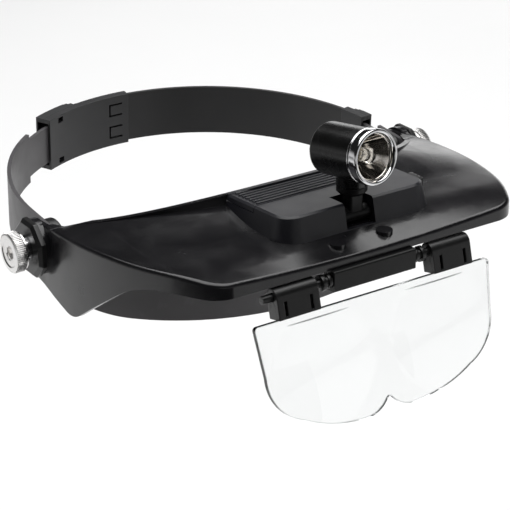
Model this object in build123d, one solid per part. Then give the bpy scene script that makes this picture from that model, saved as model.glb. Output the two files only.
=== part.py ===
from build123d import *
import math
import os

# Head visor magnifier. Millimetres and degrees. X is across the head, the front is -Y, Z is up,
# and the origin is the middle of the head opening, where the visor's pivots carry the load.

# Headband
BAND_THICKNESS = 1.5
BAND_HEIGHT = 21.3
BAND_TILT = 4.13  # the back of the band sits higher than the forehead
BAND_LIFT = 1.5
BAND_RADIUS = 79.25  # to the middle of the strip
STRAP_Y = 20.5  # centre of the round back half
FOREHEAD_Y = -45.0
CORNER_RADIUS = 30.0
CORNER_Y = -2.0
FOREHEAD_DROP = 8.8  # how far the forehead section hangs below the arms
TONGUE_HEIGHT = 16.0

# Size adjusters: angles round the strap's centre, from +X
LEFT_STEP, LEFT_MOUTH, LEFT_TONGUE_END, LEFT_STRAP_END, LEFT_SEAM = 129.0, 118.0, 104.0, 92.0, 86.0
RIGHT_SEAM, RIGHT_STRAP_END, RIGHT_TONGUE_END, RIGHT_MOUTH = 14.0, 12.8, 10.6, 5.3
RIGHT_STEP_Y = 18.6
ADJUSTER_HEIGHT = 22.4
CHANNEL_HEIGHT = 18.6
CHANNEL_GAP = 0.3  # free space each side of a tongue
PLATE = 0.9
LEFT_BULGE, RIGHT_BULGE = 4.0, 2.6  # how far the mouth half of a cover stands out

# Pivots
PIVOT_Y, PIVOT_Z = 8.5, 3.9
EAR_INSIDE = 80.3
WALL = 2.0
BOSS_THICKNESS = 2.0
CLAMP_FLATS, CLAMP_THICKNESS, CLAMP_BEVEL = 21.0, 3.0, 1.2
WASHER_RADIUS, WASHER_THICKNESS = 5.2, 1.9
HEAD_RADIUS, HEAD_THICKNESS, HEAD_GAP = 7.75, 5.2, 0.3
KNURLS = 36
SHANK_RADIUS = 2.0
SHANK_FIT = 0.06
NUT_RADIUS, NUT_THICKNESS = 9.0, 4.0

# Visor
SIDE_REAR = (82.3, 5.2)
SIDE_PULL = (85.9, -54.5)
SIDE_FRONT = (62.2, -85.0)
FRONT_CORNER = 11.0
RIM_ROUND = 1.6
RIM_HEIGHT = 13.6  # top of the side wall beside the pivots
RIM_SLOPE = 0.07
CROWN, CROWN_FRONT, CROWN_BEND, CROWN_REAR = 4.8e-5, -86.0, -38.0, -10.6
ROOF_HALF, ROOF_REAR = 84.0, 45.0
ROOF_STATIONS = (-95, -70, -50, CROWN_BEND, -27, -18, -8, 20, ROOF_REAR)
SKIRT_BOTTOM = 12.2
REAR_CUT_Y, REAR_CUT_DEPTH = 12.0, 48.5
EAR_START = 3.0  # behind this the wall is cut back to clear the band
LIP_ARCH = 10.7  # height of the rear lip's middle above the rim
LIP_WIDTH = 2.0

# Battery case, on top of the brim, centred under the lamp
CASE_X = 4.15
CASE_HALF, CASE_FOOT, CASE_DRAFT = 33.4, 18.0, 13.0  # half width at the foot; the walls lean in
CASE_FRONT, CASE_REAR = -73.4, -20.0
CASE_TOP, CASE_SLOPE = 28.43, 0.0667
CASE_CORNER, CASE_RIM_CHAMFER = 9.0, 0.7
CASE_SCREW_X, CASE_SCREW_Y = 22.0, -66.0  # measured from the case's middle
COVER_FRONT = -52.4
COVER_THICKNESS = 2.2
COVER_TRAVEL_GAP = 0.3
RIB_COUNT, RIB_PITCH, RIB_HEIGHT, RIB_LENGTH = 7, 2.3, 0.45, 58.6
TUB_HALF, TUB_FRONT, TUB_BOTTOM = 26.8, -61.2, 12.1
CELL_RADIUS, CELL_LENGTH = 5.25, 44.5
CELL_Y = (-43.9, -54.6)
CONTACT_X = 23.8
CELL_Z = 18.7
SWITCH_Y = -60.5
SWITCH_WALL = 32.0  # outside of the wall beside the switch, from the case's middle

# Lamp
LAMP_X = CASE_X
HINGE_Y, HINGE_Z = -67.8, 22.2
NOTCH_HALF, NOTCH_REAR = 6.15, -61.9
BARREL_RADIUS = 2.8
LAMP_Y, LAMP_Z = -67.0, 44.9
LAMP_YAW, LAMP_RISE = 6.5, 7.5
LAMP_RADIUS, LAMP_HALF_LENGTH = 9.5, 12.7
BEZEL_RADIUS, BEZEL_DEPTH = 10.0, 4.6
SADDLE_RADIUS, SADDLE_BOTTOM = 5.6, 33.2

# Lens hanger
ROD_Y, ROD_Z, ROD_RADIUS, ROD_FIT = -84.5, 8.2, 1.5, 0.06
LENS_TILT = 14.0
CLIP_INNER, CLIP_OUTER = 24.5, 41.6
CLIP_HALF_DEPTH, CLIP_BOTTOM = 3.3, -8.0
LENS_TOP, LENS_THICKNESS = -8.4, 2.0
TAB_CENTRES, TAB_WIDTH, TAB_TOP = (27.9, 38.4), 3.4, -3.0
BLOCK_HALF = 17.5
ROD_LEFT, ROD_RIGHT = -45.8, 42.0

PARTS = {}


def along_x(radius, x_start, x_end, y, z):
    """Round bar along X between two x positions."""
    length = abs(x_end - x_start)
    middle = (x_start + x_end) / 2
    return Pos(middle, y, z) * Cylinder(radius, length, rotation=(0, 90, 0))


def block(x_range, y_range, z_range):
    """Box between two positions on each axis."""
    spans = (x_range, y_range, z_range)
    centre = [(low + high) / 2 for low, high in spans]
    return Pos(*centre) * Box(*(abs(high - low) for low, high in spans))


def on_band(shape):
    """Moves a shape from the band's own level frame to its tilted place."""
    return Pos(0, 0, BAND_LIFT) * Rot(BAND_TILT, 0, 0) * shape


def on_case(shape):
    """Moves a shape built about the battery case's middle to its place."""
    return Pos(CASE_X, 0, 0) * shape


def strip(inner, outer, start, end, height, middle=0.0):
    """Upright strip bent round the strap's centre, between two radii and two angles."""
    centre = (0, STRAP_Y)
    arcs = [CenterArc(centre, radius, start, end - start) for radius in (inner, outer)]
    ends = [Line(arcs[0] @ side, arcs[1] @ side) for side in (0, 1)]
    return Pos(0, 0, middle) * extrude(make_face(arcs + ends), height / 2, both=True)


def at_angle(angle, radius, middle, shape):
    """Puts a shape on the strap's circle, its X pointing outwards."""
    return Pos(0, STRAP_Y) * Rot(0, 0, angle) * Pos(radius, 0, middle) * shape


# Headband ------------------------------------------------------------------------------------


def band_line(offset):
    """The forehead band's plan line, offset outwards, from the left arm's step to the right's."""
    side = BAND_RADIUS + offset
    corner = CORNER_RADIUS + offset
    across = BAND_RADIUS - CORNER_RADIUS
    drop = CORNER_Y - FOREHEAD_Y
    front_radius = (across**2 + drop**2 - CORNER_RADIUS**2) / (2 * (drop - CORNER_RADIUS))
    front_y = FOREHEAD_Y + front_radius
    turn = math.degrees(math.atan2(front_y - CORNER_Y, across))
    return [
        CenterArc((0, STRAP_Y), side, LEFT_STEP, 180 - LEFT_STEP),
        Line((-side, STRAP_Y), (-side, CORNER_Y)),
        CenterArc((-across, CORNER_Y), corner, 180, turn),
        CenterArc((0, front_y), front_radius + offset, 180 + turn, 180 - 2 * turn),
        CenterArc((across, CORNER_Y), corner, -turn, turn),
        Line((side, CORNER_Y), (side, RIGHT_STEP_Y)),
    ]


def make_front_band():
    half = BAND_THICKNESS / 2
    outer, inner = band_line(half), band_line(-half)
    caps = [Line(inner[0] @ 0, outer[0] @ 0), Line(inner[-1] @ 1, outer[-1] @ 1)]
    plan = make_face(outer + inner + caps)
    arms = extrude(plan, BAND_HEIGHT / 2, both=True)
    low = -BAND_HEIGHT / 2
    brow = Plane.XZ * Ellipse(BAND_RADIUS + half, FOREHEAD_DROP)
    brow = Pos(0, 0, low) * extrude(brow, 70, both=True)
    brow &= block((-90, 90), (-90, CORNER_Y), (-40, 0))
    forehead = extrude(plan, -30) & brow
    radii = (BAND_RADIUS - half, BAND_RADIUS + half)
    left_tongue = strip(*radii, LEFT_TONGUE_END, LEFT_STEP, TONGUE_HEIGHT)
    right_tongue = strip(*radii, 0, RIGHT_TONGUE_END, TONGUE_HEIGHT)
    run = block(radii, (RIGHT_STEP_Y, STRAP_Y), (-TONGUE_HEIGHT / 2, TONGUE_HEIGHT / 2))
    band = on_band(arms + forehead + left_tongue + right_tongue + run)
    PARTS["front_band"] = band - along_x(SHANK_RADIUS + SHANK_FIT, -90, 90, PIVOT_Y, PIVOT_Z)


def make_rear_strap():
    half = BAND_THICKNESS / 2
    inner, outer = BAND_RADIUS - half, BAND_RADIUS + half
    strap = strip(inner, outer, RIGHT_SEAM, LEFT_SEAM, BAND_HEIGHT)
    for seam, end in ((RIGHT_SEAM, RIGHT_STRAP_END), (LEFT_SEAM, LEFT_STRAP_END)):
        low, high = min(seam, end), max(seam, end)
        strap += strip(inner - CHANNEL_GAP, outer + CHANNEL_GAP, low, high, CHANNEL_HEIGHT)
    PARTS["rear_strap"] = on_band(strap)


def channel_radii():
    half = BAND_THICKNESS / 2 + CHANNEL_GAP
    return BAND_RADIUS - half, BAND_RADIUS + half


def make_adjuster_inner(side, mouth, seam, snap_angle, hole_angle):
    """Inner half of a size adjuster: a bent plate with rims, snap cuts and hook holes."""
    start, end = min(mouth, seam), max(mouth, seam)
    inner, outer = channel_radii()
    plate = strip(inner - PLATE, inner, start, end, ADJUSTER_HEIGHT)
    rim = (ADJUSTER_HEIGHT - CHANNEL_HEIGHT) / 2
    for sign in (1, -1):
        middle = sign * (ADJUSTER_HEIGHT - rim) / 2
        plate += strip(inner, outer, start, end, rim, middle)
        if hole_angle:
            hole = Box(2 * PLATE, 3.0, 2.2)
            plate -= at_angle(hole_angle, inner - PLATE / 2, sign * 9.0, hole)
        if snap_angle:
            plate -= snap_cut(snap_angle, inner - PLATE / 2, sign * 5.0)
    PARTS[side + "_adjuster_inner"] = on_band(plate)


def snap_cut(angle, radius, middle):
    """C-shaped cut that frees a tab; its open side faces the seam."""
    cut = Pos(0, 2.6, 0) * Box(2 * PLATE, 0.7, 5.6)
    for sign in (1, -1):
        cut += Pos(0, -0.2, sign * 2.45) * Box(2 * PLATE, 6.3, 0.7)
    return at_angle(angle, radius, middle, cut)


def make_adjuster_cover(side, mouth, seam, bulge_end, bulge):
    """Outer half of a size adjuster: thin at the seam, standing out over the mouth."""
    outer = channel_radii()[1]
    towards = math.copysign(1, mouth - seam)
    cover = strip(outer, outer + PLATE, *sorted((mouth, seam)), ADJUSTER_HEIGHT)
    for step in range(4):
        rise = bulge * (1 - 0.72 * (1 - step / 3) ** 2)
        start = bulge_end + towards * 1.1 * step
        cover += strip(outer, outer + rise, *sorted((mouth, start)), ADJUSTER_HEIGHT)
    hollow = sorted((mouth + towards, bulge_end + towards * 4.0))
    cover -= strip(outer - 1, outer + bulge - PLATE, *hollow, CHANNEL_HEIGHT)
    PARTS[side + "_adjuster_cover"] = on_band(cover)


def make_pawl():
    """Toothed pad under the left cover that holds the tongue."""
    outer = channel_radii()[1]
    pad = strip(outer + 0.5, outer + LEFT_BULGE - PLATE, 108.0, 114.0, 9.0)
    for step in range(5):
        pad -= at_angle(108.8 + 1.1 * step, outer + 0.5, 0, Rot(0, 0, 45) * Box(0.8, 0.8, 20))
    PARTS["left_pawl"] = on_band(pad)


# Pivots --------------------------------------------------------------------------------------


def stack(side, first, last, radius):
    """Round slice of the pivot stack, between two distances from the middle plane."""
    return along_x(radius, side * first, side * last, PIVOT_Y, PIVOT_Z)


def make_pivot(name, side):
    """Nut, clamp plate, washer and thumbscrew of one pivot; side is -1 on the left."""
    hole = stack(side, 60, 110, SHANK_RADIUS + SHANK_FIT)
    band_inside = BAND_RADIUS - BAND_THICKNESS / 2
    nut = stack(side, band_inside - NUT_THICKNESS, band_inside, NUT_RADIUS)
    nut = fillet(nut.edges().filter_by(GeomType.CIRCLE).group_by(Axis.X)[0 if side > 0 else -1], 1.2)
    PARTS["pivot_nut_" + name] = nut - hole
    boss_out = EAR_INSIDE + WALL + BOSS_THICKNESS
    plate_out = boss_out + CLAMP_THICKNESS
    face = Plane((side * boss_out, PIVOT_Y, PIVOT_Z), x_dir=(0, 1, 0), z_dir=(side, 0, 0))
    octagon = face * RegularPolygon(CLAMP_FLATS / 2, 8, major_radius=False, rotation=22.5)
    plate = extrude(octagon, CLAMP_THICKNESS)
    rim = plate.edges().group_by(Axis.X)[-1 if side > 0 else 0]
    PARTS["clamp_plate_" + name] = chamfer(rim, CLAMP_BEVEL) - hole
    washer_out = plate_out + WASHER_THICKNESS
    PARTS["washer_" + name] = stack(side, plate_out, washer_out, WASHER_RADIUS) - hole
    PARTS["thumbscrew_" + name] = make_thumbscrew(side, washer_out + HEAD_GAP)


def make_thumbscrew(side, seat):
    """Knurled head with a hex socket, on a shank that ends inside the nut."""
    top = seat + HEAD_THICKNESS
    head = stack(side, seat, top, HEAD_RADIUS)
    head = chamfer(head.edges().filter_by(GeomType.CIRCLE), 0.5)
    groove = Rot(45, 0, 0) * Box(4 * HEAD_THICKNESS, 0.62, 0.62)
    for turn in range(KNURLS):
        place = Pos(side * seat, PIVOT_Y, PIVOT_Z) * Rot(turn * 360 / KNURLS, 0, 0)
        head -= place * Pos(0, HEAD_RADIUS, 0) * groove
    face = Plane((side * top, PIVOT_Y, PIVOT_Z), x_dir=(0, 1, 0), z_dir=(side, 0, 0))
    head -= extrude(face * RegularPolygon(2.3, 6, major_radius=False), -2.8)
    shank_end = BAND_RADIUS - BAND_THICKNESS / 2 - NUT_THICKNESS + 0.5
    return head + stack(side, shank_end, seat, SHANK_RADIUS)


# Visor ---------------------------------------------------------------------------------------


def rim_height(y):
    """Height of the brim's side edge; it climbs towards the front."""
    return RIM_HEIGHT + RIM_SLOPE * (SIDE_REAR[1] - y)


def crown(y):
    """How far the middle of the brim stands above its side edges: it steepens, then levels off."""
    front = min(y, CROWN_BEND) - CROWN_FRONT
    slope = 3 * CROWN * (CROWN_BEND - CROWN_FRONT) ** 2
    past = min(max(y, CROWN_BEND), CROWN_REAR) - CROWN_BEND
    levelled = past * (1 - past / (2 * (CROWN_REAR - CROWN_BEND)))
    return 0.1 + CROWN * front**3 + slope * levelled


def roof_height(x, y):
    """Height of the brim's top at a place."""
    return rim_height(y) + crown(y) * (1 - (x / ROOF_HALF) ** 2)


def roof(arch=None):
    """Everything under the brim's arched top, or under an arch of one height all along."""
    sections = []
    for y in ROOF_STATIONS:
        left, right = (-ROOF_HALF, rim_height(y)), (ROOF_HALF, rim_height(y))
        height = crown(y) if arch is None else arch
        top = ThreePointArc(left, (0, rim_height(y) + height), right)
        sides = Polyline(left, (left[0], -60), (right[0], -60), right)
        sections.append(Plane.XZ.offset(-y) * make_face([top, sides]))
    return loft(sections)


def visor_plan(inset):
    """Plan of the visor, drawn well past the back of the pivots; inset gives the wall's inside."""
    back = 60
    start = (SIDE_REAR[0] - inset, SIDE_REAR[1])
    pull = (SIDE_PULL[0] - 1.02 * inset, SIDE_PULL[1] + 0.32 * inset)
    front = (SIDE_FRONT[0] - 0.49 * inset, SIDE_FRONT[1] + inset)
    side = Bezier(start, pull, front)
    corner = (start[0], back)
    half = [Line((0, front[1]), front), side, Line(start, corner), Line(corner, (0, back))]
    plan = make_face(half + [mirror(edge, Plane.YZ) for edge in half])
    corners = plan.vertices().filter_by(lambda v: abs(v.Y - front[1]) < 0.01 and abs(v.X) > 1)
    return fillet(corners, FRONT_CORNER - inset)


def side_profile():
    """What the visor keeps in side view: a front skirt, side lobes and round pivot ears."""
    points = [
        (-110, SKIRT_BOTTOM),
        (-57, SKIRT_BOTTOM),
        (-16.9, -15.9),
        (19.0, -7.9),
        (19.0, 12.6),
        (-2.3, 14.0),
        (-12.0, 18.2),
        (-12.0, 50.0),
        (-110, 50.0),
        (-110, SKIRT_BOTTOM + 1),
    ]
    line = FilletPolyline(*points, radius=[45, 12, 9, 8.5, 6, 1, 1, 1])
    face = Plane.YZ * make_face([line, Line(line @ 1, line @ 0)])
    return extrude(face, 120, both=True)


def rear_opening(extra):
    """Curved gap in the brim where the forehead comes; extra makes it larger."""
    plan = Pos(0, REAR_CUT_Y) * Ellipse(EAR_INSIDE + extra, REAR_CUT_DEPTH + extra)
    return Pos(0, 0, -80) * extrude(plan, 160)


def make_visor_shell():
    top = roof()
    prism = Pos(0, 0, -60) * extrude(visor_plan(0), 120)
    body = prism & top
    rims = body.faces().sort_by(Axis.Z)[-1].edges()
    body = fillet(rims.filter_by(lambda edge: edge.center().Y < ROOF_REAR - 1), RIM_ROUND)
    body -= Pos(0, 0, -60) * extrude(visor_plan(WALL), 120) & Pos(0, 0, -WALL) * top
    body -= rear_opening(0)
    body -= block((-EAR_INSIDE, EAR_INSIDE), (EAR_START, 70), (-60, 60))
    body &= side_profile()
    lip = (rear_opening(LIP_WIDTH) - rear_opening(0)) & prism & roof(LIP_ARCH)
    lip &= block((-90, 90), (-90, EAR_START), (0, 60)) & side_profile()
    body += lip - Pos(0, 0, -WALL) * top
    for side in (-1, 1):
        wall_out = EAR_INSIDE + WALL
        body += stack(side, wall_out - 0.5, wall_out + BOSS_THICKNESS, CLAMP_FLATS / 2)
        body += Pos(side * 10, -78.5, 15.3) * Cylinder(3, 6.0)
        body -= Pos(side * 10, -78.5, 14.0) * Cylinder(1.0, 6)
        body -= on_case(Pos(side * CASE_SCREW_X, CASE_SCREW_Y, 16) * Cylinder(1.4, 12))
    body -= along_x(SHANK_RADIUS + SHANK_FIT, -110, 110, PIVOT_Y, PIVOT_Z)
    half = TUB_HALF + 0.2
    body -= on_case(block((-half, half), (TUB_FRONT - 0.2, -20), (0, 22.9)))
    body -= cover_gap()
    PARTS["visor_shell"] = body


def cover_gap():
    """Part of the rear lip that the battery cover carries instead."""
    zone = case_walls(COVER_TRAVEL_GAP) & rear_opening(LIP_WIDTH + 0.5)
    return zone - roof()


# Battery case --------------------------------------------------------------------------------


def case_top(y):
    return CASE_TOP - CASE_SLOPE * (y - CASE_FRONT)


def case_block(y_front, y_rear, z_bottom):
    """Box under the case's sloping top."""
    top = [(y_rear, case_top(y_rear)), (y_front, case_top(y_front))]
    points = [(y_front, z_bottom), (y_rear, z_bottom)] + top
    face = Plane.YZ * make_face(Polyline(*points, close=True))
    return on_case(extrude(face, CASE_HALF, both=True))


def case_walls(extra=0.0):
    """Tall form with the case's leaning walls and round front corners; extra makes it larger."""
    middle = (CASE_FRONT + CASE_REAR) / 2
    depth = CASE_REAR - CASE_FRONT + 2 * extra
    plan = Pos(CASE_X, middle) * Rectangle(2 * (CASE_HALF + extra), depth)
    plan = fillet(plan.vertices().group_by(Axis.Y)[0], CASE_CORNER)
    return Pos(0, 0, CASE_FOOT) * extrude(plan, 20, taper=CASE_DRAFT)


def case_outside():
    """The case's outer form under its sloping top, with softened top edges."""
    body = case_walls() & case_block(CASE_FRONT - 5, CASE_REAR + 5, 10)
    top = body.faces().sort_by(Axis.Z)[-1]
    rims = top.edges() - top.edges().group_by(Axis.Y)[-1]
    return chamfer(rims, CASE_RIM_CHAMFER)


def make_battery_case():
    case = case_outside() - roof()
    case += on_case(block((-TUB_HALF, TUB_HALF), (TUB_FRONT, -20), (TUB_BOTTOM, 22.0)))
    case -= rear_opening(0)
    bay = on_case(block((-24.6, 24.6), (-60.2, -38.3), (TUB_BOTTOM + 1.2, 60)))
    case -= bay & Pos(0, 0, -1.8) * case_block(-70, -30, 0)
    case -= lid_zone()
    for low, high in ((-19, -8.5), (8.5, 19)):
        case -= on_case(block((low, high), (-68.4, -61.6), (15, 26.3)))
    case -= switch_bay()
    case -= lamp_notch()
    case -= along_x(1.1, LAMP_X - 10, LAMP_X + 10, HINGE_Y, HINGE_Z)
    for side in (-1, 1):
        case -= on_case(Pos(side * CASE_SCREW_X, CASE_SCREW_Y, 17.5) * Cylinder(1.0, 9.8))
    PARTS["battery_case"] = case


def lid_zone():
    """Space above the case's rim that the battery cover takes, with its sliding gap."""
    slab = case_block(COVER_FRONT, -20, 0)
    under = Pos(0, 0, -COVER_THICKNESS - COVER_TRAVEL_GAP) * slab
    return block((-90, 90), (COVER_FRONT, 0), (0, 60)) - under


def switch_bay():
    """Room for the slide switch, open through the right wall."""
    bay = block((24.1, SWITCH_WALL - 1.5), (SWITCH_Y - 4.9, SWITCH_Y + 4.9), (22.6, 26.4))
    slot = block((SWITCH_WALL - 3, SWITCH_WALL + 2), (SWITCH_Y - 4.6, SWITCH_Y + 4.6), (24.2, 25.6))
    return on_case(bay + slot)


def lamp_notch():
    low, high = LAMP_X - NOTCH_HALF, LAMP_X + NOTCH_HALF
    return block((low, high), (-80, NOTCH_REAR), (HINGE_Z - BARREL_RADIUS - 0.4, 60))


def make_battery_cover():
    """Sliding cover with grip ribs; it carries the stretch of brim lip behind the case."""
    slab = case_outside() & lid_zone()
    slab &= block((-90, 90), (COVER_FRONT + COVER_TRAVEL_GAP, 0), (0, 60))
    lower = Pos(0, 0, -COVER_THICKNESS) * case_block(CASE_FRONT, -20, -20)
    slab -= lower
    slab -= rear_opening(0)
    for index in range(RIB_COUNT):
        y = COVER_FRONT + 1.9 + RIB_PITCH * index
        rib = Pos(CASE_X, y, case_top(y)) * Box(RIB_LENGTH, 1.1, 2 * RIB_HEIGHT)
        slab += fillet(rib.edges().filter_by(Axis.X).group_by(Axis.Z)[-1], 0.3)
    lip = (rear_opening(LIP_WIDTH) - rear_opening(0)) & roof(LIP_ARCH)
    lip &= case_walls()
    slab += lip - lower
    PARTS["battery_cover"] = slab


def make_power():
    """Two cells, their springs and plates, and the slide switch."""
    for name, y, turn in (("battery_front", CELL_Y[1], 1), ("battery_rear", CELL_Y[0], -1)):
        base, tip = CONTACT_X - CELL_LENGTH, CONTACT_X
        cell = along_x(CELL_RADIUS, turn * base, turn * (tip - 0.8), y, CELL_Z)
        cell = fillet(cell.edges().filter_by(GeomType.CIRCLE), 0.6)
        cell += along_x(1.9, turn * (tip - 1), turn * tip, y, CELL_Z)
        PARTS[name] = on_case(cell)
    springs, plates = [], []
    for y, turn in ((CELL_Y[1], -1), (CELL_Y[0], 1)):
        springs.append(ring(turn * CONTACT_X, turn * (CELL_LENGTH - CONTACT_X), 3.6, y))
        for side in (-1, 1):
            plates.append(along_x(4.4, side * CONTACT_X, side * (CONTACT_X + 0.6), y, CELL_Z))
    PARTS["contact_springs"] = Compound(children=[on_case(spring) for spring in springs])
    PARTS["contact_plates"] = Compound(children=[on_case(plate) for plate in plates])
    body = block((24.6, 30.2), (SWITCH_Y - 4.5, SWITCH_Y + 4.5), (22.8, 26.1))
    body -= block((26.4, 31), (SWITCH_Y - 3.4, SWITCH_Y + 3.4), (24.2, 25.6))
    PARTS["switch_body"] = on_case(body)
    slider = block((26.8, SWITCH_WALL + 1.1), (SWITCH_Y - 1.6, SWITCH_Y + 1.6), (24.5, 25.3))
    knob_out = SWITCH_WALL + 2.4
    knob = block((SWITCH_WALL + 0.35, knob_out), (SWITCH_Y - 3.6, SWITCH_Y + 3.6), (24.0, 26.4))
    knob = fillet(knob.edges().filter_by(Axis.Z), 1.0)
    for step in (-2, 0, 2):
        knob -= Pos(knob_out, SWITCH_Y + step, 25.2) * Rot(0, 0, 45) * Box(0.7, 0.7, 4)
    PARTS["switch_slider"] = on_case(slider + knob)


def ring(base, tip, radius, y):
    """One contact spring, as a short hollow cone of wire turns."""
    low, high = sorted((base, tip))
    return along_x(radius, low, high, y, CELL_Z) - along_x(radius - 0.8, low - 1, high + 1, y, CELL_Z)


# Lamp ----------------------------------------------------------------------------------------


def on_lamp(shape):
    """Moves a shape from the lamp's own frame, where it shines along -Y, to its place."""
    return Pos(LAMP_X, LAMP_Y, LAMP_Z) * Rot(0, 0, LAMP_YAW) * Rot(-LAMP_RISE, 0, 0) * shape


def turned(points):
    """Solid turned about the lamp's axis from (radius, distance behind the lamp's middle) points."""
    face = make_face(Polyline(*points, close=True))
    return revolve(face, Axis.Y)


def make_lamp_neck():
    barrel = along_x(BARREL_RADIUS, LAMP_X - 5.85, LAMP_X + 5.85, HINGE_Y, HINGE_Z)
    top = SADDLE_BOTTOM - 0.3
    post = block((LAMP_X - 3.2, LAMP_X + 3.2), (-70.2, -65.0), (HINGE_Z, top - 2))
    post = fillet(post.edges().filter_by(Axis.Z), 1.4)
    disc = Pos(LAMP_X, LAMP_Y, top - 1.5) * Cylinder(SADDLE_RADIUS, 3.0)
    disc = chamfer(disc.edges().group_by(Axis.Z)[0], 1.2)
    neck = barrel + post + disc
    neck -= along_x(1.1 + ROD_FIT, LAMP_X - 10, LAMP_X + 10, HINGE_Y, HINGE_Z)
    neck -= swivel_bar(1.5 + ROD_FIT)
    PARTS["lamp_neck"] = neck
    PARTS["lamp_hinge_pin"] = along_x(1.1, LAMP_X - 9.8, LAMP_X + 9.8, HINGE_Y, HINGE_Z)
    PARTS["swivel_pin"] = swivel_bar(1.5)


def swivel_bar(radius):
    """Upright bar from the neck into the lamp's saddle."""
    bottom, top = 28.0, 36.4
    return Pos(LAMP_X, LAMP_Y, (bottom + top) / 2) * Cylinder(radius, top - bottom)


def make_lamp():
    front, rear = -LAMP_HALF_LENGTH, LAMP_HALF_LENGTH
    seat = front + BEZEL_DEPTH
    barrel = Cylinder(LAMP_RADIUS, rear - seat, rotation=(90, 0, 0))
    outer = on_lamp(Pos(0, (seat + rear) / 2, 0) * barrel)
    outer = fillet(outer.edges().filter_by(GeomType.CIRCLE).sort_by(Axis.Y)[-1], 1.6)
    saddle_top = LAMP_Z - 6.0
    saddle = Pos(LAMP_X, LAMP_Y, (SADDLE_BOTTOM + saddle_top) / 2)
    saddle = saddle * Cylinder(SADDLE_RADIUS, saddle_top - SADDLE_BOTTOM)
    bore = on_lamp(turned([(0, seat - 1), (8.2, seat - 1), (8.2, rear - 1.6), (0, rear - 1.6)]))
    body = outer + saddle - bore
    PARTS["lamp_body"] = body - swivel_bar(1.5)
    bezel = [(8.3, front + 0.5), (8.8, front), (BEZEL_RADIUS - 0.6, front), (BEZEL_RADIUS, front + 0.7)]
    bezel += [(BEZEL_RADIUS, seat), (8.7, seat), (8.7, front + 1.4), (8.3, front + 1.4)]
    PARTS["lamp_bezel"] = on_lamp(turned(bezel))
    PARTS["lamp_reflector"] = on_lamp(turned(reflector_outline(front)))
    glass = [(0, front + 4.4), (1.3, front + 4.9), (2.2, front + 6.2), (2.4, front + 8)]
    bulb = turned(glass + bulb_base(front))
    PARTS["lamp_bulb"] = on_lamp(bulb)
    holder = turned([(2.6, front + 13.0), (7.8, front + 13.0), (7.8, front + 19), (2.6, front + 19)])
    PARTS["bulb_holder"] = on_lamp(holder)


def bulb_base(front):
    return [(2.4, front + 17.5), (0, front + 17.5)]


def reflector_outline(front):
    """Bowl that narrows from the bezel to the bulb, 0.6 thick."""
    inside = []
    for step in range(7):
        radius = 8.0 - (8.0 - 2.7) * step / 6
        depth = 8.6 * (1 - (radius / 8.0) ** 2)
        inside.append((radius, front + 1.8 + depth))
    outside = [(radius + 0.6, depth + 0.35) for radius, depth in reversed(inside)]
    return inside + [(2.7, front + 13.0), (3.3, front + 13.0)] + outside


# Lens hanger ---------------------------------------------------------------------------------


def on_rod(shape):
    """Moves a shape from the lens's own frame, where it hangs straight down, to its place."""
    return Pos(0, ROD_Y, ROD_Z) * Rot(-LENS_TILT, 0, 0) * shape


def make_lens_mount_block():
    beam = block((-BLOCK_HALF, BLOCK_HALF), (-87.3, -81.0), (4.3, SKIRT_BOTTOM - 0.1))
    beam = fillet(beam.edges().filter_by(Axis.X), 0.8)
    tab = block((-14, 14), (-82, -74.5), (9.0, SKIRT_BOTTOM + 0.1))
    body = beam + tab
    body -= along_x(ROD_RADIUS + ROD_FIT, -30, 30, ROD_Y, ROD_Z)
    screws = []
    for side in (-1, 1):
        body -= Pos(side * 10, -78.5, 10) * Cylinder(1.3, 6)
        shank = Pos(side * 10, -78.5, 12.6) * Cylinder(1.0, 7.2)
        head = Pos(side * 10, -78.5, 8.4) * Cylinder(2.2, 1.2)
        head -= Pos(side * 10, -78.5, 7.9) * (Box(2.8, 0.6, 0.6) + Box(0.6, 2.8, 0.6))
        screws.append(shank + head)
    PARTS["lens_mount_block"] = body
    PARTS["block_screws"] = Compound(children=screws)
    screws = []
    for side in (-1, 1):
        x, y = CASE_X + side * CASE_SCREW_X, CASE_SCREW_Y
        seat = roof_height(x, y) - WALL - 0.15
        shank = Pos(x, y, seat + 2.4) * Cylinder(1.0, 5.0)
        head = Pos(x, y, seat - 0.6) * Cylinder(2.4, 1.2)
        screws.append(shank + head)
    PARTS["case_screws"] = Compound(children=screws)


def make_lens_rod():
    rod = along_x(ROD_RADIUS, ROD_LEFT, ROD_RIGHT, ROD_Y, ROD_Z)
    for side in (-1, 1):
        for low, high, radius in ((18.0, 19.3, 2.6), (19.3, 20.6, 2.0), (20.6, 22.0, 2.9)):
            rod += along_x(radius, side * low, side * high, ROD_Y, ROD_Z)
    PARTS["lens_rod"] = rod


def make_clip(name, side):
    """Clip that turns on the rod and grips two of the lens plate's tabs."""
    low, high = sorted((side * CLIP_INNER, side * CLIP_OUTER))
    depth = CLIP_HALF_DEPTH
    body = block((low, high), (-depth, depth), (CLIP_BOTTOM, 0))
    body += along_x(depth, low, high, 0, 0)
    ends = sorted((side * (CLIP_INNER + 1.3), side * (CLIP_OUTER - 1.3)))
    body -= block(ends, (-1.1, 1.1), (CLIP_BOTTOM - 1, TAB_TOP + 0.4))
    for centre in TAB_CENTRES:
        x = side * centre
        body -= block((x - 0.55, x + 0.55), (-depth - 1, depth + 1), (CLIP_BOTTOM + 0.9, -1.9))
    body -= along_x(ROD_RADIUS, low - 1, high + 1, 0, 0)
    PARTS[name] = on_rod(body)


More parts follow.
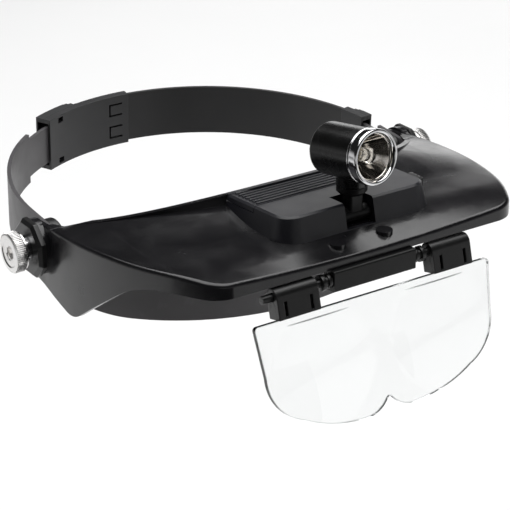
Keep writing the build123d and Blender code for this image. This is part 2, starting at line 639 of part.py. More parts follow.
def lens_outline():
    """Half of the lens plate's outline in its own plane, from the top middle to the nose notch."""
    return [
        Line((0, LENS_TOP), (48.9, LENS_TOP)),
        ThreePointArc((48.9, LENS_TOP), (50.0, LENS_TOP - 0.4), (50.4, LENS_TOP - 1.5)),
        Line((50.4, LENS_TOP - 1.5), (48.8, -27.0)),
        ThreePointArc((48.8, -27.0), (45.9, -37.6), (36.5, -44.8)),
        ThreePointArc((36.5, -44.8), (24.0, -49.9), (11.0, -51.8)),
        ThreePointArc((11.0, -51.8), (5.6, -50.9), (0.9, -47.0)),
        Line((0.9, -47.0), (0, -46.6)),
        Line((0, -46.6), (0, LENS_TOP)),
    ]


def make_lens_plate():
    half = make_face([Plane.XZ * edge for edge in lens_outline()])
    sheet = extrude(half, LENS_THICKNESS / 2, both=True)
    prism = extrude(half, 6, both=True)
    radius, centre_x, centre_z, rise = 95.0, 25.0, -28.5, 2.6
    ball = Pos(centre_x, radius - LENS_THICKNESS / 2 - rise, centre_z) * Sphere(radius)
    face = ball & prism & block((0, 52), (-5, -LENS_THICKNESS / 2), (-50.5, LENS_TOP - 2.5))
    sheet = sheet + face
    plate = sheet + mirror(sheet, Plane.YZ)
    for side in (-1, 1):
        for centre in TAB_CENTRES:
            x = side * centre
            tab = block((x - TAB_WIDTH / 2, x + TAB_WIDTH / 2), (-1, 1), (LENS_TOP - 0.5, TAB_TOP))
            plate += tab
    PARTS["lens_plate"] = on_rod(plate)


def main():
    make_front_band()
    make_rear_strap()
    make_adjuster_inner("left", LEFT_MOUTH, LEFT_SEAM, 90.6, 112.6)
    make_adjuster_cover("left", LEFT_MOUTH, LEFT_SEAM, 103.0, LEFT_BULGE)
    make_adjuster_inner("right", RIGHT_MOUTH, RIGHT_SEAM, None, None)
    make_adjuster_cover("right", RIGHT_MOUTH, RIGHT_SEAM, 12.5, RIGHT_BULGE)
    make_pawl()
    make_pivot("left", -1)
    make_pivot("right", 1)
    make_visor_shell()
    make_battery_case()
    make_battery_cover()
    make_power()
    make_lamp_neck()
    make_lamp()
    make_lens_mount_block()
    make_lens_rod()
    make_clip("left_lens_clip", -1)
    make_clip("right_lens_clip", 1)
    make_lens_plate()
    os.makedirs("parts", exist_ok=True)
    for name, shape in PARTS.items():
        export_step(shape, f"parts/{name}.step")


main()
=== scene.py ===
import math

import bmesh
import bpy
from mathutils import Matrix, Quaternion, Vector


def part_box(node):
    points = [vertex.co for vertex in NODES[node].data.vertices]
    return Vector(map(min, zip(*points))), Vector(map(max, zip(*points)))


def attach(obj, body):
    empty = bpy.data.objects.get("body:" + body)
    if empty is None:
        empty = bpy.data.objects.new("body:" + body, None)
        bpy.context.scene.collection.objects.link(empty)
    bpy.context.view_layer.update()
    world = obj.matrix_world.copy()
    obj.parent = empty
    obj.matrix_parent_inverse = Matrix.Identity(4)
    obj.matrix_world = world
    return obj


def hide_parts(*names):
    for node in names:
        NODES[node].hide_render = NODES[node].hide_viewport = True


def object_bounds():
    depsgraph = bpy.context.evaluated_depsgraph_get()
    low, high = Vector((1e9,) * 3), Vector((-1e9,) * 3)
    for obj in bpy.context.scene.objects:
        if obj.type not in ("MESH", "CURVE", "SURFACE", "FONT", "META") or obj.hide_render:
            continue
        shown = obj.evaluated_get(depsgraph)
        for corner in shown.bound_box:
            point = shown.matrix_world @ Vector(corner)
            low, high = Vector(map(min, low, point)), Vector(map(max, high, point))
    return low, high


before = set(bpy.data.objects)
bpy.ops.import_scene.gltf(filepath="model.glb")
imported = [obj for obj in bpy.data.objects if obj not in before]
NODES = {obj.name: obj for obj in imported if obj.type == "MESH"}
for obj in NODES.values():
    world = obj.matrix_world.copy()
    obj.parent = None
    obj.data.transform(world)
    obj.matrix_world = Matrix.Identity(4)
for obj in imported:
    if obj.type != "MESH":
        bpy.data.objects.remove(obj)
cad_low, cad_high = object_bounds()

# Head visor magnifier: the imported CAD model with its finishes, and finely made pieces where the
# CAD is plain. Metres, in the CAD's frame: X across the head, the front is -Y, Z is up.

MM = 0.001


# Camera, floor and light ---------------------------------------------------------------------

CAMERA_PLACE = Vector((-0.3409, -0.5427, 0.2716))
CAMERA_TARGET = Vector((-0.00692, -0.02044, -0.00877))
CAMERA_ROLL = -0.98  # degrees
CAMERA_LENS = 127.2
FLOOR_DROP = 0.22  # how far the floor lies under the lens plate
FLOOR_SIZE = 9.0
SUBJECT = Vector((0.0, -0.02, 0.0))  # what the lights and cards face

SOFTBOXES = {  # place, width, height, radiance
    "top_light": ((0.1, 0.15, 1.7), 2.4, 2.4, 3.4),
    "back_light": ((1.34, 1.2, 0.26), 1.3, 0.5, 1.5),
}
FLAGS = {  # place, width, height
    "left_flag": ((-0.42, -0.30, -0.08), 0.7, 0.5),
    "front_flag": ((-0.07, -0.36, -0.14), 0.38, 0.3),
}

BACKDROP = 1.0  # brightness of the surround where the camera sees it
THROUGH_CLEAR = 0.95  # and where it shows through clear plastic or glass
HORIZON = 0.05  # top of the pale band, as the Z of a direction
GLOSSY_SKY = (0.22, 0.75, 0.015)  # Z where the fade ends, brightness below it, brightness above
DIFFUSE_SKY = (0.45, 0.5, 0.08)


def make_camera():
    camera = bpy.data.objects.new("camera", bpy.data.cameras.new("camera"))
    bpy.context.scene.collection.objects.link(camera)
    camera.data.lens = CAMERA_LENS
    camera.data.clip_start = 0.01
    camera.location = CAMERA_PLACE
    camera.rotation_mode = "QUATERNION"
    roll = Quaternion((0, 0, 1), math.radians(CAMERA_ROLL))
    camera.rotation_quaternion = (CAMERA_TARGET - CAMERA_PLACE).to_track_quat("-Z", "Y") @ roll
    bpy.context.scene.camera = camera


def softbox(name, place, width, height, radiance):
    """Rectangular light that faces the object, as bright as a surface of that radiance."""
    data = bpy.data.lights.new(name, "AREA")
    data.shape = "RECTANGLE"
    data.size, data.size_y = width, height
    data.energy = radiance * math.pi * width * height
    light = bpy.data.objects.new(name, data)
    bpy.context.scene.collection.objects.link(light)
    light.location = place
    light.rotation_mode = "QUATERNION"
    light.rotation_quaternion = (SUBJECT - Vector(place)).to_track_quat("-Z", "Y")
    light.visible_camera = False


def flag(name, place, width, height):
    """Black card that only shows as a dark reflection."""
    mesh = bpy.data.meshes.new(name)
    corners = [(-1, -1, 0), (1, -1, 0), (1, 1, 0), (-1, 1, 0)]
    mesh.from_pydata([(x * width / 2, y * height / 2, z) for x, y, z in corners], [], [(0, 1, 2, 3)])
    card = bpy.data.objects.new(name, mesh)
    bpy.context.scene.collection.objects.link(card)
    card.location = place
    card.rotation_mode = "QUATERNION"
    card.rotation_quaternion = (SUBJECT - Vector(place)).to_track_quat("Z", "Y")
    card.visible_camera = False
    card.visible_diffuse = False
    card.visible_shadow = False
    card.visible_transmission = False
    graph = Graph("flag_black")
    graph.set("Base Color", (0.004, 0.004, 0.004, 1))
    graph.set("Specular IOR Level", 0.0)
    mesh.materials.append(graph.material)


def make_world():
    """White where the camera looks past the floor; elsewhere pale only near the horizon."""
    world = bpy.data.worlds.new("studio")
    world.use_nodes = True
    bpy.context.scene.world = world
    tree = world.node_tree
    tree.nodes.clear()
    place = tree.nodes.new("ShaderNodeTexCoord")
    split = tree.nodes.new("ShaderNodeSeparateXYZ")
    path = tree.nodes.new("ShaderNodeLightPath")
    tree.links.new(place.outputs["Generated"], split.inputs["Vector"])

    def fade(top, low, high):
        """Brightness that goes from low at the horizon to high at a direction's height."""
        rise = tree.nodes.new("ShaderNodeMapRange")
        for name, value in (("From Min", HORIZON), ("From Max", top), ("To Min", low), ("To Max", high)):
            rise.inputs[name].default_value = value
        tree.links.new(split.outputs["Z"], rise.inputs["Value"])
        return rise.outputs["Result"]

    def pick(chosen, otherwise, value):
        """The value for one kind of ray, and the other brightness for the rest."""
        choose = tree.nodes.new("ShaderNodeMix")
        choose.data_type = "FLOAT"
        tree.links.new(path.outputs[chosen], choose.inputs["Factor"])
        tree.links.new(otherwise, choose.inputs["A"])
        if isinstance(value, float):
            choose.inputs["B"].default_value = value
        else:
            tree.links.new(value, choose.inputs["B"])
        return choose.outputs["Result"]

    strength = pick("Is Glossy Ray", fade(*DIFFUSE_SKY), fade(*GLOSSY_SKY))
    strength = pick("Is Transmission Ray", strength, THROUGH_CLEAR)
    strength = pick("Is Camera Ray", strength, BACKDROP)
    light = tree.nodes.new("ShaderNodeBackground")
    output = tree.nodes.new("ShaderNodeOutputWorld")
    tree.links.new(strength, light.inputs["Strength"])
    tree.links.new(light.outputs["Background"], output.inputs["Surface"])


def make_floor():
    mesh = bpy.data.meshes.new("floor")
    half = FLOOR_SIZE / 2
    height = cad_low.z - FLOOR_DROP
    corners = [(-half, -half, height), (half, -half, height), (half, half, height), (-half, half, height)]
    mesh.from_pydata(corners, [], [(0, 1, 2, 3)])
    floor = bpy.data.objects.new("floor", mesh)
    bpy.context.scene.collection.objects.link(floor)
    graph = Graph("floor_paper")
    paper = graph.span(graph.noise(2.5, detail=4), 0.86, 0.9)
    graph.set("Base Color", graph.grey(paper))
    graph.set("Roughness", 0.85)
    graph.set("Specular IOR Level", 0.2)
    graph.set("Normal", graph.bump(graph.noise(900, detail=2), 0.05, 0.0001))
    mesh.materials.append(graph.material)


# Materials -----------------------------------------------------------------------------------


SCRATCH_SCALE = 260
GRAIN_SCALE, GRAIN_HEIGHT = 1500, 0.00006
SCRATCH_DEPTH = 0.00004
EDGE_WEAR_HIGHLIGHT_WIDTH = 0.0005  # width of the band along a plastic part's edges that is rubbed smoother and lightened, partly wear and partly a painted highlight
FROSTED_EDGE = 0.0007  # width of the frosted band along the lens plate's edges
FROST = (0.72, 0.76, 0.75, 1)
METAL_MARK_DEPTH = 0.00002


class Graph:
    """A material's node tree, with short calls for the nodes used here."""

    def __init__(self, name):
        self.material = bpy.data.materials.new(name)
        self.material.use_nodes = True
        self.tree = self.material.node_tree
        self.shader = self.tree.nodes["Principled BSDF"]
        self.place = self.node("TexCoord").outputs["Object"]

    def node(self, kind, inputs=None, **settings):
        made = self.tree.nodes.new("ShaderNode" + kind)
        for key, value in settings.items():
            setattr(made, key, value)
        for key, value in (inputs or {}).items():
            self.feed(made.inputs[key], value)
        return made

    def feed(self, socket, value):
        if isinstance(value, bpy.types.NodeSocket):
            self.tree.links.new(value, socket)
        else:
            socket.default_value = value

    def set(self, name, value):
        self.feed(self.shader.inputs[name], value)

    def noise(self, scale, detail=2.0, stretch=None, distortion=0.0, shift=0.0):
        """Noise from 0 to 1; stretch scales each axis, shift moves it so that two differ."""
        place = self.place
        if stretch or shift:
            inputs = {"Vector": place, "Scale": stretch or (1, 1, 1), "Location": (shift, shift, shift)}
            place = self.node("Mapping", inputs).outputs["Vector"]
        inputs = {"Vector": place, "Scale": scale, "Detail": detail, "Distortion": distortion}
        return self.node("TexNoise", inputs).outputs["Fac"]

    def span(self, value, low, high, start=0.25, end=0.75):
        """Maps start..end onto low..high."""
        inputs = {"Value": value, "From Min": start, "From Max": end, "To Min": low, "To Max": high}
        return self.node("MapRange", inputs).outputs["Result"]

    def maths(self, operation, first, second=0.5):
        return self.node("Math", {0: first, 1: second}, operation=operation).outputs[0]

    def mix(self, amount, first, second):
        """Blends two colours."""
        inputs = {"Factor": amount, 6: first, 7: second}
        return self.node("Mix", inputs, data_type="RGBA").outputs[2]

    def grey(self, value):
        return self.node("CombineColor", {"Red": value, "Green": value, "Blue": value}).outputs[0]

    def bump(self, height, strength, distance, normal=None):
        inputs = {"Height": height, "Strength": strength, "Distance": distance}
        if normal is not None:
            inputs["Normal"] = normal
        return self.node("Bump", inputs).outputs["Normal"]

    def edges(self, radius):
        """How close a place is to a sharp edge, from 0 to 1."""
        rounded = self.node("Bevel", {"Radius": radius}, samples=4).outputs["Normal"]
        plain = self.node("NewGeometry").outputs["Normal"]
        dot = self.node("VectorMath", {0: rounded, 1: plain}, operation="DOT_PRODUCT").outputs["Value"]
        return self.span(dot, 1.0, 0.0, start=0.85, end=0.995)

    def hairlines(self, scale, amount):
        """Sparse fine scratches in two directions."""
        along = self.noise(scale, detail=1, stretch=(0.02, 1.0, 0.35))
        across = self.noise(scale, detail=1, stretch=(1.0, 0.03, 0.5), shift=3.7)
        first = self.span(along, 0.0, amount, start=0.66, end=0.72)
        second = self.span(across, 0.0, amount, start=0.67, end=0.73)
        return self.maths("MAXIMUM", first, second)


def shade(colour, factor):
    return tuple(channel * factor for channel in colour) + (1.0,)


def plastic(name, colour, roughness, grain=0.12, wear=0.5, level=0.5, scratched=0.1):
    """Moulded plastic: a fine spark-eroded grain, soft mottling, hairlines, and edges rubbed smoother and
    lightened, the lightening partly wear and partly a painted highlight.
    """
    graph = Graph(name)
    clouds = graph.noise(28, detail=3)
    smudges = graph.noise(90, detail=4, shift=5.1, distortion=0.4)
    scratches = graph.hairlines(SCRATCH_SCALE, 1.0)
    edges = graph.edges(EDGE_WEAR_HIGHLIGHT_WIDTH)
    tone = graph.mix(graph.span(clouds, 0.0, 1.0), shade(colour, 0.82), shade(colour, 1.22))
    # Edge band: rubbed wear makes it smoother, and its lightening is partly a painted highlight; wear sets
    # how strong both are.
    edge_wear_and_highlight = graph.maths("MULTIPLY", edges, graph.span(smudges, 0.2 * wear, wear))
    # Painted highlight along the edges: the colour there is raised to 2.6 times the plastic's tone.
    tone = graph.mix(edge_wear_and_highlight, tone, shade(colour, 2.6))
    tone = graph.mix(graph.maths("MULTIPLY", scratches, scratched), tone, shade(colour, 2.2))
    graph.set("Base Color", tone)
    base = graph.span(smudges, roughness - 0.05, roughness + 0.06)
    base = graph.maths("SUBTRACT", base, graph.maths("MULTIPLY", edge_wear_and_highlight, 0.12))
    base = graph.maths("ADD", base, graph.maths("MULTIPLY", scratches, 0.3 * scratched))
    graph.set("Roughness", base)
    graph.set("Specular IOR Level", level)
    graph.set("IOR", 1.5)
    texture = graph.noise(GRAIN_SCALE, detail=2, shift=1.3)
    relief = graph.bump(texture, grain, GRAIN_HEIGHT)
    relief = graph.bump(scratches, -0.4 * scratched, SCRATCH_DEPTH, relief)
    graph.set("Normal", relief)
    return graph.material


def metal(name, colour, roughness, wear=0.06):
    """Plated or turned metal with soft smudges and fine tool marks."""
    graph = Graph(name)
    clouds = graph.noise(60, detail=3)
    marks = graph.noise(1400, detail=3)
    smudges = graph.noise(180, detail=4, shift=2.9, distortion=0.6)
    tone = graph.mix(graph.span(clouds, 0.0, 1.0), shade(colour, 0.93), shade(colour, 1.05))
    graph.set("Base Color", tone)
    base = graph.span(smudges, roughness, roughness + wear)
    base = graph.maths("ADD", base, graph.span(marks, 0.0, 0.5 * wear))
    graph.set("Roughness", base)
    graph.set("Metallic", 1.0)
    graph.set("Normal", graph.bump(marks, 0.06, METAL_MARK_DEPTH))
    return graph.material


def clear(name, colour, roughness, index, frosted=0.0):
    """Clear plastic or glass with faint smudges and dust, its sharp edges frosted over a width."""
    graph = Graph(name)
    smudges = graph.noise(70, detail=4, distortion=0.8)
    dust = graph.span(graph.noise(1100, detail=1, shift=4.4), 0.0, 1.0, start=0.74, end=0.8)
    base = graph.span(smudges, roughness, roughness + 0.015)
    graph.set("Roughness", graph.maths("ADD", base, graph.maths("MULTIPLY", dust, 0.1)))
    if frosted:
        edges = graph.edges(frosted)
        graph.set("Transmission Weight", graph.span(edges, 1.0, 0.35, start=0.0, end=1.0))
        graph.set("Base Color", graph.mix(edges, colour, FROST))
    else:
        graph.set("Transmission Weight", 1.0)
        graph.set("Base Color", colour)
    graph.set("IOR", index)
    graph.set("Normal", graph.bump(smudges, 0.02, 0.0001))
    return graph.material


def make_materials():
    made = {
        "band_front": plastic("band_front", (0.060, 0.057, 0.060), 0.40, grain=0.10, wear=0.3),
        "band_rear": plastic("band_rear", (0.0125, 0.0122, 0.0128), 0.46, grain=0.14, wear=0.4),
        "adjuster": plastic("adjuster", (0.0165, 0.0165, 0.0178), 0.42, grain=0.12, wear=0.4),
        "visor": plastic("visor", (0.0068, 0.0066, 0.0076), 0.22, grain=0.06, wear=0.3),
        "case": plastic("case", (0.0105, 0.0105, 0.0135), 0.36, grain=0.12, wear=0.4),
        "clip": plastic("clip", (0.0055, 0.0055, 0.0056), 0.34, grain=0.10, wear=0.4),
        "block": plastic("block", (0.0035, 0.0035, 0.0036), 0.42, grain=0.10, wear=0.3, level=0.3),
        "lamp": plastic("lamp", (0.003, 0.003, 0.003), 0.26, grain=0.03, wear=0.6, scratched=0.0),
        "chrome": metal("chrome", (0.83, 0.83, 0.84), 0.06),
        "turned": metal("turned", (0.78, 0.77, 0.76), 0.16, wear=0.1),
        "mirror": metal("mirror", (0.86, 0.82, 0.76), 0.05, wear=0.05),
        "steel": metal("steel", (0.52, 0.51, 0.5), 0.28, wear=0.12),
        "brass": metal("brass", (0.72, 0.6, 0.36), 0.24, wear=0.12),
        "lens": clear("lens", (0.935, 0.945, 0.943, 1), 0.0, 1.49, FROSTED_EDGE),
        "glass": clear("glass", (0.99, 0.985, 0.97, 1), 0.0, 1.5),
    }
    return made


# Mesh making ---------------------------------------------------------------------------------


def add_piece(name, mesh, material, body, replaced=()):
    """Adds a finished mesh to the object, riding on a body."""
    piece = bpy.data.objects.new(name, mesh)
    bpy.context.scene.collection.objects.link(piece)
    mesh.materials.append(material)
    for polygon in mesh.polygons:
        polygon.use_smooth = True
    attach(piece, body)
    if replaced:
        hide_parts(*replaced)
    return piece


def rounded(points, radius, steps=4):
    """Rounds the corners of a closed outline of (radius, distance) points that lie off the axis."""
    result = []
    count = len(points)
    for index, point in enumerate(points):
        here = Vector(point)
        before, after = Vector(points[index - 1]), Vector(points[(index + 1) % count])
        if here.x <= 0:
            result.append(here)
            continue
        reach = min(radius, (before - here).length * 0.45, (after - here).length * 0.45)
        first = here + (before - here).normalized() * reach
        last = here + (after - here).normalized() * reach
        for step in range(steps + 1):
            t = step / steps
            result.append(first * (1 - t) ** 2 + here * 2 * t * (1 - t) + last * t * t)
    return result


def turned(name, outline, place, segments=128, shape=None):
    """Mesh turned about local Z from (radius, distance) points; shape may change a radius by angle."""
    data = bmesh.new()
    rings = []
    for index, (radius, distance) in enumerate(outline):
        if radius <= 1e-9:
            rings.append([data.verts.new(place @ Vector((0, 0, distance)))])
            continue
        ring = []
        for step in range(segments):
            angle = 2 * math.pi * step / segments
            far = shape(index, radius, angle, step) if shape else radius
            point = Vector((far * math.cos(angle), far * math.sin(angle), distance))
            ring.append(data.verts.new(place @ point))
        rings.append(ring)
    pairs = list(zip(rings, rings[1:]))
    if len(rings[0]) > 1 and len(rings[-1]) > 1:
        pairs.append((rings[-1], rings[0]))
    for first, second in pairs:
        for step in range(segments):
            following = (step + 1) % segments
            if len(first) == 1 and len(second) == 1:
                continue
            if len(first) == 1:
                data.faces.new((first[0], second[step], second[following]))
            elif len(second) == 1:
                data.faces.new((first[step], second[0], first[following]))
            else:
                data.faces.new((first[step], second[step], second[following], first[following]))
    bmesh.ops.recalc_face_normals(data, faces=data.faces)
    mesh = bpy.data.meshes.new(name)
    data.to_mesh(mesh)
    data.free()
    return mesh


def tube(name, points, radius, sides=12):
    """Round wire along a list of points, closed at both ends."""
    data = bmesh.new()
    rings = []
    side = None
    for index, point in enumerate(points):
        ahead = points[min(index + 1, len(points) - 1)] - points[max(index - 1, 0)]
        ahead.normalize()
        if side is None:
            side = ahead.orthogonal().normalized()
        side = (side - ahead * side.dot(ahead)).normalized()
        up = ahead.cross(side)
        ring = []
        for step in range(sides):
            angle = 2 * math.pi * step / sides
            ring.append(data.verts.new(point + (side * math.cos(angle) + up * math.sin(angle)) * radius))
        rings.append(ring)
    for first, second in zip(rings, rings[1:]):
        for step in range(sides):
            following = (step + 1) % sides
            data.faces.new((first[step], first[following], second[following], second[step]))
    data.faces.new(list(reversed(rings[0])))
    data.faces.new(rings[-1])
    mesh = bpy.data.meshes.new(name)
    data.to_mesh(mesh)
    data.free()
    return mesh


def joined(name, meshes):
    """One mesh from several."""
    data = bmesh.new()
    for mesh in meshes:
        data.from_mesh(mesh)
    result = bpy.data.meshes.new(name)
    data.to_mesh(result)
    data.free()
    return result


def hexagon(flats, angle):
    """Distance from the middle of a hexagon to its side, at an angle."""
    turn = (angle + math.radians(30)) % math.radians(60) - math.radians(30)
    return flats / 2 / math.cos(turn)


# CAD nodes and their finishes ----------------------------------------------------------------

FINISHES = {
    "front_band": ("band_front", 0.35),
    "rear_strap": ("band_rear", 0.3),
    "left_adjuster_inner": ("adjuster", 0.18),
    "left_adjuster_cover": ("adjuster", 0.3),
    "right_adjuster_inner": ("adjuster", 0.18),
    "right_adjuster_cover": ("adjuster", 0.3),
    "left_pawl": ("adjuster", 0.12),
    "pivot_nut_left": ("clip", 0.2),
    "pivot_nut_right": ("clip", 0.2),
    "clamp_plate_left": ("clip", 0.3),
    "clamp_plate_right": ("clip", 0.3),
    "washer_left": ("chrome", 0.15),
    "washer_right": ("chrome", 0.15),
    "visor_shell": ("visor", 0.25),
    "battery_case": ("case", 0.3),
    "battery_cover": ("case", 0.15),
    "contact_plates": ("brass", 0.1),
    "switch_body": ("clip", 0.15),
    "switch_slider": ("clip", 0.12),
    "lamp_hinge_pin": ("steel", 0.1),
    "lamp_neck": ("block", 0.25),
    "swivel_pin": ("steel", 0.1),
    "lamp_body": ("lamp", 0.3),
    "bulb_holder": ("clip", 0.15),
    "lens_mount_block": ("block", 0.3),
    "block_screws": ("steel", 0.1),
    "case_screws": ("steel", 0.1),
    "lens_rod": ("clip", 0.15),
    "left_lens_clip": ("clip", 0.25),
    "right_lens_clip": ("clip", 0.25),
    "lens_plate": ("lens", 0.25),
}


WELD_DISTANCE = 0.002 * MM
ROUNDED_ANGLE = math.radians(28)  # edges sharper than this are rounded


def finish_nodes(materials):
    """Gives each CAD node its material, and rounds its sharp edges by a width in millimetres."""
    for name, (material, width) in FINISHES.items():
        node = NODES[name]
        mesh = node.data
        mesh.materials.clear()
        mesh.materials.append(materials[material])
        if "custom_normal" in mesh.attributes:
            mesh.attributes.remove(mesh.attributes["custom_normal"])
        mesh.shade_smooth()
        weld = node.modifiers.new("weld", "WELD")
        weld.merge_threshold = WELD_DISTANCE
        bevel = node.modifiers.new("edges", "BEVEL")
        bevel.width = width * MM
        bevel.segments = 2
        bevel.limit_method = "ANGLE"
        bevel.angle_limit = ROUNDED_ANGLE
        normals = node.modifiers.new("normals", "WEIGHTED_NORMAL")
        normals.keep_sharp = False


# Thumbscrews ---------------------------------------------------------------------------------

TEETH, STEPS_PER_TOOTH, TOOTH_DEPTH = 64, 4, 0.28 * MM
TOOTH_EDGE, TOOTH_ANGLE = 0.07 * MM, math.radians(32)
SOCKET_FLATS = 4.6 * MM
SOCKET_DEPTH = 2.8 * MM
SHANK_RADIUS = 2.0 * MM
HEAD_THICKNESS = 5.2 * MM


def make_thumbscrew(name, side, materials):
    """Knurled head, dished face, hex socket and shank, turned about the pivot's axis."""
    low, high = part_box("thumbscrew_" + name)
    centre = (low + high) / 2
    head = (high.y - low.y) / 2
    length = high.x - low.x
    outward = Vector((side, 0, 0))
    inner_end = Vector((low.x if side > 0 else high.x, centre.y, centre.z))
    turn = outward.to_track_quat("Z", "Y").to_matrix().to_4x4()
    place = Matrix.Translation(inner_end) @ turn
    seat, top = length - HEAD_THICKNESS, length
    face = [(0, top - SOCKET_DEPTH), (SOCKET_FLATS / 2, top - SOCKET_DEPTH)]
    face += [(SOCKET_FLATS / 2, top - 0.75 * MM), (SOCKET_FLATS / 2 + 0.35 * MM, top - 0.4 * MM)]
    face += [(head * 0.66, top - 0.4 * MM), (head * 0.72, top - 0.02 * MM), (head * 0.86, top)]
    rim = [(head - 0.25 * MM, top - 0.35 * MM), (head, top - 0.8 * MM)]
    rim += [(head, seat + 1.35 * MM), (head - 0.3 * MM, seat + 1.05 * MM)]
    rim += [(head - 0.7 * MM, seat + 0.95 * MM), (head - 0.7 * MM, seat + 0.25 * MM)]
    back = [(head - 0.95 * MM, seat), (SHANK_RADIUS + 0.3 * MM, seat)]
    shank = [(SHANK_RADIUS, seat - 0.3 * MM), (SHANK_RADIUS, 0.3 * MM), (SHANK_RADIUS - 0.3 * MM, 0), (0, 0)]
    outline = face + rim + back + shank
    first_tooth, last_tooth = len(face), len(face) + 3

    def shape(index, radius, angle, step):
        if 1 <= index <= 3:
            return hexagon(2 * radius, angle) if index < 3 else radius * 1.12
        if first_tooth <= index <= last_tooth and step % STEPS_PER_TOOTH in (2, 3):
            return radius - TOOTH_DEPTH
        return radius

    mesh = turned("thumbscrew_" + name, outline, place, STEPS_PER_TOOTH * TEETH, shape)
    piece = add_piece(
        "knurled_thumbscrew_" + name, mesh, materials["turned"], "screw_" + name,
        ["thumbscrew_" + name],
    )
    mesh.set_sharp_from_angle(angle=TOOTH_ANGLE)
    bevel = piece.modifiers.new("edges", "BEVEL")
    bevel.width = TOOTH_EDGE
    bevel.segments = 2
    bevel.limit_method = "ANGLE"
    bevel.angle_limit = TOOTH_ANGLE


# Lamp ----------------------------------------------------------------------------------------

LAMP_MIDDLE = Vector((4.15, -67.0, 44.9)) * MM
LAMP_YAW, LAMP_RISE = 6.5, 7.5
LAMP_HALF = 12.7 * MM
FILAMENT_TURNS, FILAMENT_RADIUS = 14, 0.13 * MM


def lamp_place():
    """Puts local Z along the lamp's axis, towards its back, with Z 0 at the front of the bezel."""
    yaw = Matrix.Rotation(math.radians(LAMP_YAW), 4, "Z")
    rise = Matrix.Rotation(math.radians(-LAMP_RISE), 4, "X")
    stand = Matrix.Rotation(math.radians(-90), 4, "X")
    return Matrix.Translation(LAMP_MIDDLE) @ yaw @ rise @ stand @ Matrix.Translation((0, 0, -LAMP_HALF))


def millimetres(points):
    return [(radius * MM, distance * MM) for radius, distance in points]


def make_lamp_optics(materials):
    place = lamp_place()
    bezel = [(8.25, 0.9), (8.6, 0.25), (8.95, 0.0), (9.45, 0.0), (9.85, 0.25), (10.0, 0.8)]
    bezel += [(10.0, 3.4), (9.75, 3.75), (9.75, 4.0), (10.0, 4.2), (10.0, 4.6)]
    bezel += [(8.7, 4.6), (8.7, 1.4), (8.3, 1.4)]
    mesh = turned("bezel", rounded(millimetres(bezel), 0.12 * MM, 3), place)
    add_piece("bezel_ring", mesh, materials["chrome"], "lamp", ["lamp_bezel"])
    inside = []
    for step in range(25):
        radius = 8.1 - (8.1 - 2.75) * step / 24
        inside.append((radius, 1.6 + 8.8 * (1 - (radius / 8.1) ** 2)))
    outside = [(radius + 0.45, distance + 0.3) for radius, distance in reversed(inside)]
    outline = millimetres(inside + [(2.75, 13.0), (3.2, 13.0)] + outside)
    mesh = turned("reflector", outline, place, 96)
    add_piece("reflector_bowl", mesh, materials["mirror"], "lamp", ["lamp_reflector"])
    make_bulb(place, materials)


def make_bulb(place, materials):
    """Glass envelope with a lens tip, its collar, bead, posts and coiled filament."""
    outer = [(0, 4.3), (0.9, 4.45), (1.7, 4.95), (2.25, 5.7)]
    outer += [(2.5, 6.7), (2.45, 7.8), (2.1, 9.0), (1.95, 10.2)]
    inner = [(1.65, 10.2), (1.8, 9.0), (2.15, 7.8), (2.2, 6.75)]
    inner += [(1.95, 5.9), (1.45, 5.3), (0.8, 5.0), (0, 4.9)]
    mesh = turned("envelope", millimetres(outer + inner), place, 64)
    add_piece("bulb_envelope", mesh, materials["glass"], "lamp", ["lamp_bulb"])
    collar = [(0, 10.0), (1.9, 10.0), (2.35, 10.3), (2.6, 10.9), (2.6, 11.5), (2.3, 11.8)]
    collar += [(2.3, 17.0), (1.9, 17.5), (0, 17.5)]
    mesh = turned("collar", rounded(millimetres(collar), 0.15 * MM, 3), place, 64)
    add_piece("bulb_collar", mesh, materials["brass"], "lamp")
    bead = [(0, 8.6), (0.8, 8.8), (1.0, 9.3), (0.8, 10.1), (0, 10.1)]
    mesh = turned("bead", rounded(millimetres(bead), 0.2 * MM, 3), place, 32)
    add_piece("bulb_bead", mesh, materials["glass"], "lamp")
    wires = []
    for sign in (-1, 1):
        route = [(0.45, 9.9), (0.5, 9.0), (0.75, 7.6), (0.95, 6.6)]
        points = [place @ Vector((sign * x * MM, 0, z * MM)) for x, z in route]
        wires.append(tube("post", points, 0.09 * MM, 8))
    coil = []
    steps = FILAMENT_TURNS * 10
    for step in range(steps + 1):
        t = step / steps
        angle = 2 * math.pi * FILAMENT_TURNS * t
        x = (-0.95 + 1.9 * t) * MM
        height = 6.6 * MM - 0.25 * MM * math.sin(math.pi * t) + FILAMENT_RADIUS * math.sin(angle)
        coil.append(place @ Vector((x, FILAMENT_RADIUS * math.cos(angle), height)))
    wires.append(tube("filament", coil, 0.035 * MM, 6))
    add_piece("bulb_filament", joined("filament", wires), materials["steel"], "lamp")


# Power ---------------------------------------------------------------------------------------

SLEEVE_HALF = 12.8 * MM  # half the length of the dark part of a cell's sleeve
SPRING_TURNS, SPRING_WIRE = 4, 0.25 * MM


def cell_sleeve():
    """Shrink sleeve of a plain cell: dark, with a copper band towards each end."""
    graph = Graph("cell_sleeve")
    along = graph.node("SeparateXYZ", {"Vector": graph.place}).outputs["X"]
    along = graph.maths("SUBTRACT", along, LAMP_MIDDLE.x)
    band = graph.maths("GREATER_THAN", graph.maths("ABSOLUTE", along), SLEEVE_HALF)
    clouds = graph.noise(40, detail=3)
    dark = graph.mix(graph.span(clouds, 0, 1), (0.02, 0.03, 0.05, 1), (0.03, 0.04, 0.06, 1))
    copper = graph.mix(graph.span(clouds, 0, 1), (0.42, 0.2, 0.09, 1), (0.5, 0.26, 0.12, 1))
    graph.set("Base Color", graph.mix(band, dark, copper))
    graph.set("Metallic", 0.6)
    graph.set("Roughness", graph.span(graph.noise(150, detail=3), 0.22, 0.36))
    graph.set("Normal", graph.bump(graph.noise(500, detail=2), 0.05, 0.00003))
    return graph.material


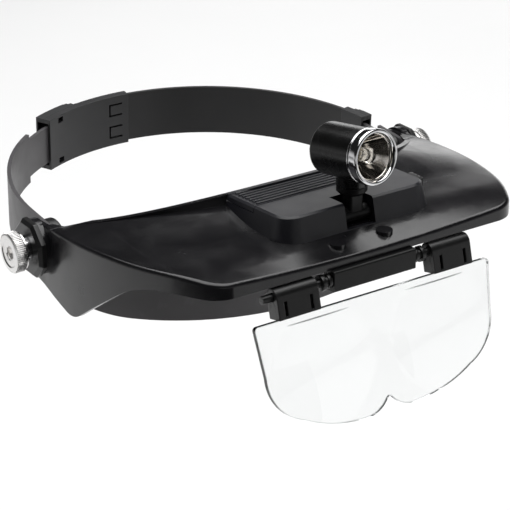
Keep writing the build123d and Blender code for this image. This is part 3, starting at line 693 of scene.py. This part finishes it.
def make_cells(materials):
    sleeve = cell_sleeve()
    for name in ("battery_front", "battery_rear"):
        low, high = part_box(name)
        direction = 1 if name == "battery_front" else -1
        start = Vector((low.x if direction > 0 else high.x, (low.y + high.y) / 2, (low.z + high.z) / 2))
        turn = Vector((direction, 0, 0)).to_track_quat("Z", "Y").to_matrix().to_4x4()
        place = Matrix.Translation(start) @ turn
        length = (high.x - low.x) / MM
        body = [(0, 0.1), (3.6, 0.1), (3.9, 0.35), (4.3, 0.35), (4.5, 0.0), (5.05, 0.15), (5.25, 0.6)]
        body += [(5.25, length - 1.4), (5.05, length - 0.95), (4.5, length - 0.8)]
        body += [(4.2, length - 1.1), (0, length - 1.1)]
        mesh = turned(name, millimetres(body), place, 72)
        add_piece("cell_" + name[8:], mesh, sleeve, "visor", [name])
        cap = [(0, length - 1.2), (3.4, length - 1.2), (3.3, length - 0.95), (1.95, length - 0.9)]
        cap += [(1.85, length - 0.15), (1.6, length), (0, length)]
        mesh = turned(name + "_cap", rounded(millimetres(cap), 0.1 * MM, 3), place, 48)
        add_piece("cell_cap_" + name[8:], mesh, materials["steel"], "visor")


def make_springs(materials):
    """Conical wire springs at the flat end of each cell."""
    coils = []
    low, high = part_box("contact_springs")
    front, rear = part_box("battery_front"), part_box("battery_rear")
    for side, cell in ((-1, front), (1, rear)):
        wall = low.x if side < 0 else high.x
        tip = cell[0].x if side < 0 else cell[1].x
        y, z = (cell[0].y + cell[1].y) / 2, (cell[0].z + cell[1].z) / 2
        points = []
        steps = SPRING_TURNS * 24
        for step in range(steps + 1):
            t = step / steps
            angle = 2 * math.pi * SPRING_TURNS * t
            radius = (3.4 - 1.1 * t) * MM
            lift = 0.3 * MM + (abs(tip - wall) - 0.6 * MM) * t
            x = wall - side * lift
            points.append(Vector((x, y + radius * math.cos(angle), z + radius * math.sin(angle))))
        coils.append(tube("spring", points, SPRING_WIRE, 10))
    mesh = joined("springs", coils)
    add_piece("wire_springs", mesh, materials["steel"], "visor", ["contact_springs"])


# Scene ---------------------------------------------------------------------------------------


def main():
    bpy.context.scene.view_settings.view_transform = "Standard"
    make_camera()
    make_world()
    make_floor()
    for name, settings in SOFTBOXES.items():
        softbox(name, *settings)
    for name, settings in FLAGS.items():
        flag(name, *settings)
    materials = make_materials()
    finish_nodes(materials)
    make_thumbscrew("left", -1, materials)
    make_thumbscrew("right", 1, materials)
    make_lamp_optics(materials)
    make_cells(materials)
    make_springs(materials)


main()
